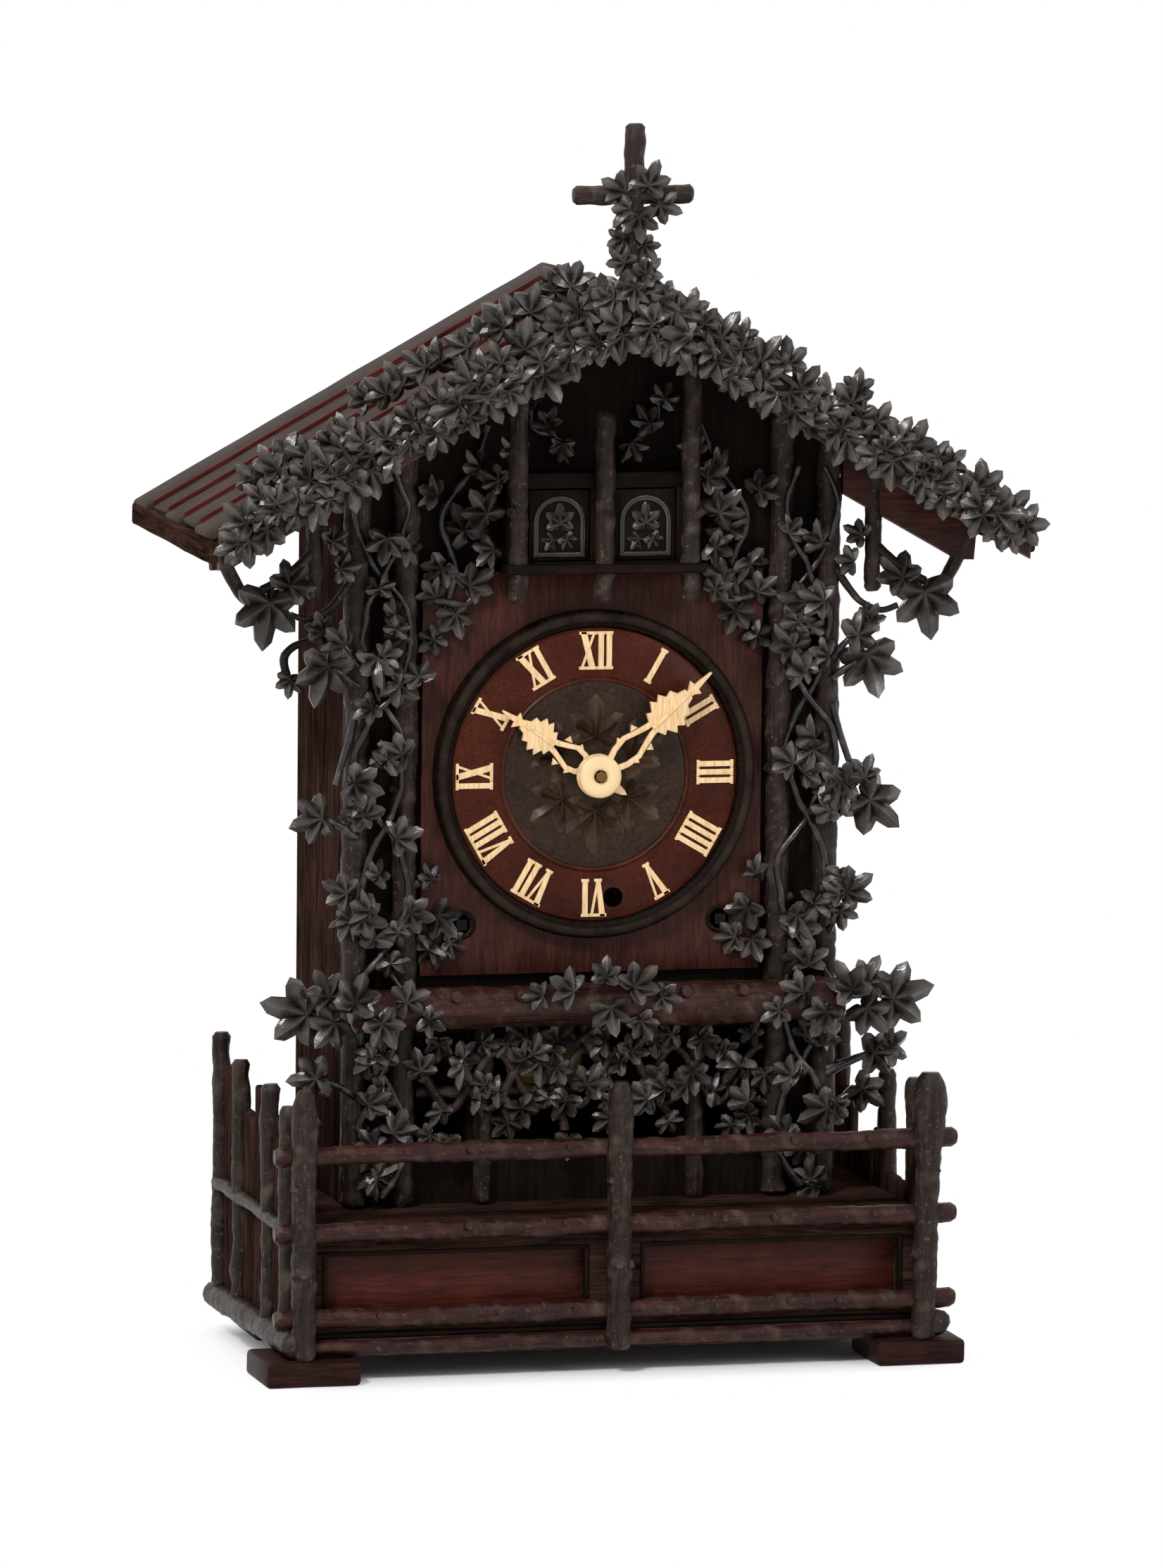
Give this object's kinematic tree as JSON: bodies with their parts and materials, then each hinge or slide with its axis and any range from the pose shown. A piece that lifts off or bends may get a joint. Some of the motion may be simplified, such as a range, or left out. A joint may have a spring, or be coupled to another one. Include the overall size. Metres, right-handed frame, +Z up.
{
  "type": "cuckoo mantel clock",
  "caption": "Carved wooden chalet table clock with an ivy gable, cross finial, round dial with bone hands, bird doors, log fence round its base, and a striking movement inside.",
  "frame": {"origin": "under the middle of the clock, at the level its feet stand on", "axes": "+Z up, the dial faces -Y, +X to the right of someone who looks at the dial"},
  "size_m": [0.3544, 0.158, 0.52],
  "materials": {
    "dark_wood": "near-black stain, waxed",
    "red_wood": "red-brown stain, waxed",
    "bone": "carved bone, satin",
    "pine": "bare pine",
    "painted_bird": "painted, matt",
    "brass": "satin",
    "steel": "satin"
  },
  "bodies": {
    "case": {"base_box": "dark_wood", "base_deck": "dark_wood", "fence_rail_top": "dark_wood", "fence_rail_middle": "dark_wood", "fence_rail_lower": "dark_wood", "fence_post_left": "dark_wood", "fence_post_centre": "dark_wood", "fence_post_right": "dark_wood", "fence_side_right": "dark_wood", "fence_side_left": "dark_wood", "case_side_right": "dark_wood", "case_side_left": "dark_wood", "case_front": "dark_wood", "roof_right": "dark_wood", "roof_left": "dark_wood", "gable_carving_right": "dark_wood", "gable_carving_left": "dark_wood", "finial_cross": "dark_wood", "pilaster_right": "dark_wood", "pilaster_left": "dark_wood", "cross_beam": "dark_wood", "lower_lattice": "dark_wood", "eave_bracket_right": "dark_wood", "eave_bracket_left": "dark_wood", "dial_bezel": "dark_wood", "door_porch": "dark_wood", "base_front_panel": "red_wood", "foot_front_right": "red_wood", "foot_front_left": "red_wood", "foot_back_right": "red_wood", "foot_back_left": "red_wood", "dial_board": "red_wood", "dial_plate": "red_wood", "bird_shelf": "pine", "bellows_pipe_right": "pine", "bellows_pipe_left": "pine", "movement_front_plate": "brass", "movement_back_plate": "brass"},
    "minute_hand_work": {"minute_hand": "bone", "centre_arbor": "brass"},
    "hour_hand_work": {"hour_hand": "bone", "hour_wheel": "brass"},
    "minute_wheel": {"minute_wheel": "brass"},
    "intermediate_wheel": {"intermediate_wheel": "brass"},
    "going_barrel": {"going_barrel": "brass"},
    "third_wheel": {"third_wheel": "brass"},
    "escape_wheel": {"escape_wheel": "brass"},
    "strike_barrel": {"strike_barrel": "brass"},
    "strike_pin_wheel": {"strike_pin_wheel": "brass"},
    "going_winding_arbor": {"going_winding_arbor": "steel"},
    "strike_winding_arbor": {"strike_winding_arbor": "steel"},
    "pendulum": {"pendulum": "brass"},
    "anchor": {"anchor": "steel"},
    "cuckoo": {"cuckoo": "painted_bird"},
    "quail": {"quail": "painted_bird"},
    "door_left": {"door_left": "dark_wood"},
    "door_right": {"door_right": "dark_wood"},
    "bellows_top_left": {"bellows_top_left": "pine"},
    "bellows_top_right": {"bellows_top_right": "pine"},
    "rear_door": {"rear_door": "dark_wood"}
  },
  "joints": [
    {"name": "minute_hand_turn", "type": "hinge", "parent": "case", "child": "minute_hand_work", "pos_m": [0, 0, 0.246], "axis": [0, 1, 0], "continuous": true},
    {"name": "hour_hand_turn", "type": "hinge", "parent": "case", "child": "hour_hand_work", "pos_m": [0, 0, 0.246], "axis": [0, 1, 0], "continuous": true},
    {"name": "minute_wheel_turn", "type": "hinge", "parent": "case", "child": "minute_wheel", "pos_m": [0.02, 0, 0.246], "axis": [0, 1, 0], "continuous": true},
    {"name": "intermediate_wheel_turn", "type": "hinge", "parent": "case", "child": "intermediate_wheel", "pos_m": [0.02667, 0, 0.21619], "axis": [0, 1, 0], "continuous": true},
    {"name": "going_barrel_turn", "type": "hinge", "parent": "case", "child": "going_barrel", "pos_m": [0.056, 0, 0.18339], "axis": [0, 1, 0], "continuous": true},
    {"name": "third_wheel_turn", "type": "hinge", "parent": "case", "child": "third_wheel", "pos_m": [-0.02145, 0, 0.264], "axis": [0, 1, 0], "continuous": true},
    {"name": "escape_wheel_turn", "type": "hinge", "parent": "case", "child": "escape_wheel", "pos_m": [0, 0, 0.27476], "axis": [0, 1, 0], "continuous": true},
    {"name": "strike_barrel_turn", "type": "hinge", "parent": "case", "child": "strike_barrel", "pos_m": [-0.056, 0, 0.18339], "axis": [0, 1, 0], "continuous": true},
    {"name": "strike_pin_wheel_turn", "type": "hinge", "parent": "case", "child": "strike_pin_wheel", "pos_m": [-0.02667, 0, 0.21619], "axis": [0, 1, 0], "continuous": true},
    {"name": "going_winding_turn", "type": "hinge", "parent": "case", "child": "going_winding_arbor", "pos_m": [0.056, 0, 0.18339], "axis": [0, 1, 0], "continuous": true},
    {"name": "strike_winding_turn", "type": "hinge", "parent": "case", "child": "strike_winding_arbor", "pos_m": [-0.056, 0, 0.18339], "axis": [0, 1, 0], "continuous": true},
    {"name": "pendulum_swing", "type": "hinge", "parent": "case", "child": "pendulum", "pos_m": [0, 0.0595, 0.29476], "axis": [0, 1, 0], "range_deg": [-4.5, 4.5]},
    {"name": "anchor_rock", "type": "hinge", "parent": "case", "child": "anchor", "pos_m": [0, 0.0435, 0.29476], "axis": [0, 1, 0], "range_deg": [-4.5, 4.5]},
    {"name": "cuckoo_slide", "type": "slide", "parent": "case", "child": "cuckoo", "axis": [0, -1, 0], "range_m": [0, 0.033]},
    {"name": "door_left_swing", "type": "hinge", "parent": "case", "child": "door_left", "pos_m": [-0.0315, -0.03, 0.35125], "axis": [0, 0, -1], "range_deg": [0, 90]},
    {"name": "quail_slide", "type": "slide", "parent": "case", "child": "quail", "axis": [0, -1, 0], "range_m": [0, 0.033]},
    {"name": "door_right_swing", "type": "hinge", "parent": "case", "child": "door_right", "pos_m": [0.0315, -0.03, 0.35125], "axis": [0, 0, 1], "range_deg": [0, 90]},
    {"name": "bellows_left_lift", "type": "hinge", "parent": "case", "child": "bellows_top_left", "pos_m": [-0.087, 0.042, 0.3368], "axis": [-1, 0, 0], "range_deg": [0, 16]},
    {"name": "bellows_right_lift", "type": "hinge", "parent": "case", "child": "bellows_top_right", "pos_m": [0.087, 0.042, 0.3368], "axis": [-1, 0, 0], "range_deg": [0, 16]},
    {"name": "rear_door_swing", "type": "hinge", "parent": "case", "child": "rear_door", "pos_m": [-0.0925, 0.074, 0.25], "axis": [0, 0, 1], "range_deg": [0, 100]}
  ],
  "couplings": [
    {"joint": "hour_hand_turn", "follows": "minute_hand_turn", "ratio": 0.083333},
    {"joint": "minute_wheel_turn", "follows": "minute_hand_turn", "ratio": -0.33333},
    {"joint": "intermediate_wheel_turn", "follows": "minute_hand_turn", "ratio": -0.17647},
    {"joint": "going_barrel_turn", "follows": "minute_hand_turn", "ratio": 0.039216},
    {"joint": "third_wheel_turn", "follows": "minute_hand_turn", "ratio": -6},
    {"joint": "escape_wheel_turn", "follows": "minute_hand_turn", "ratio": 30},
    {"joint": "strike_pin_wheel_turn", "follows": "strike_barrel_turn", "ratio": -4.5},
    {"joint": "anchor_rock", "follows": "pendulum_swing", "ratio": 1},
    {"joint": "door_left_swing", "follows": "cuckoo_slide", "rad_per_m": 47.6},
    {"joint": "door_right_swing", "follows": "quail_slide", "rad_per_m": 47.6}
  ]
}
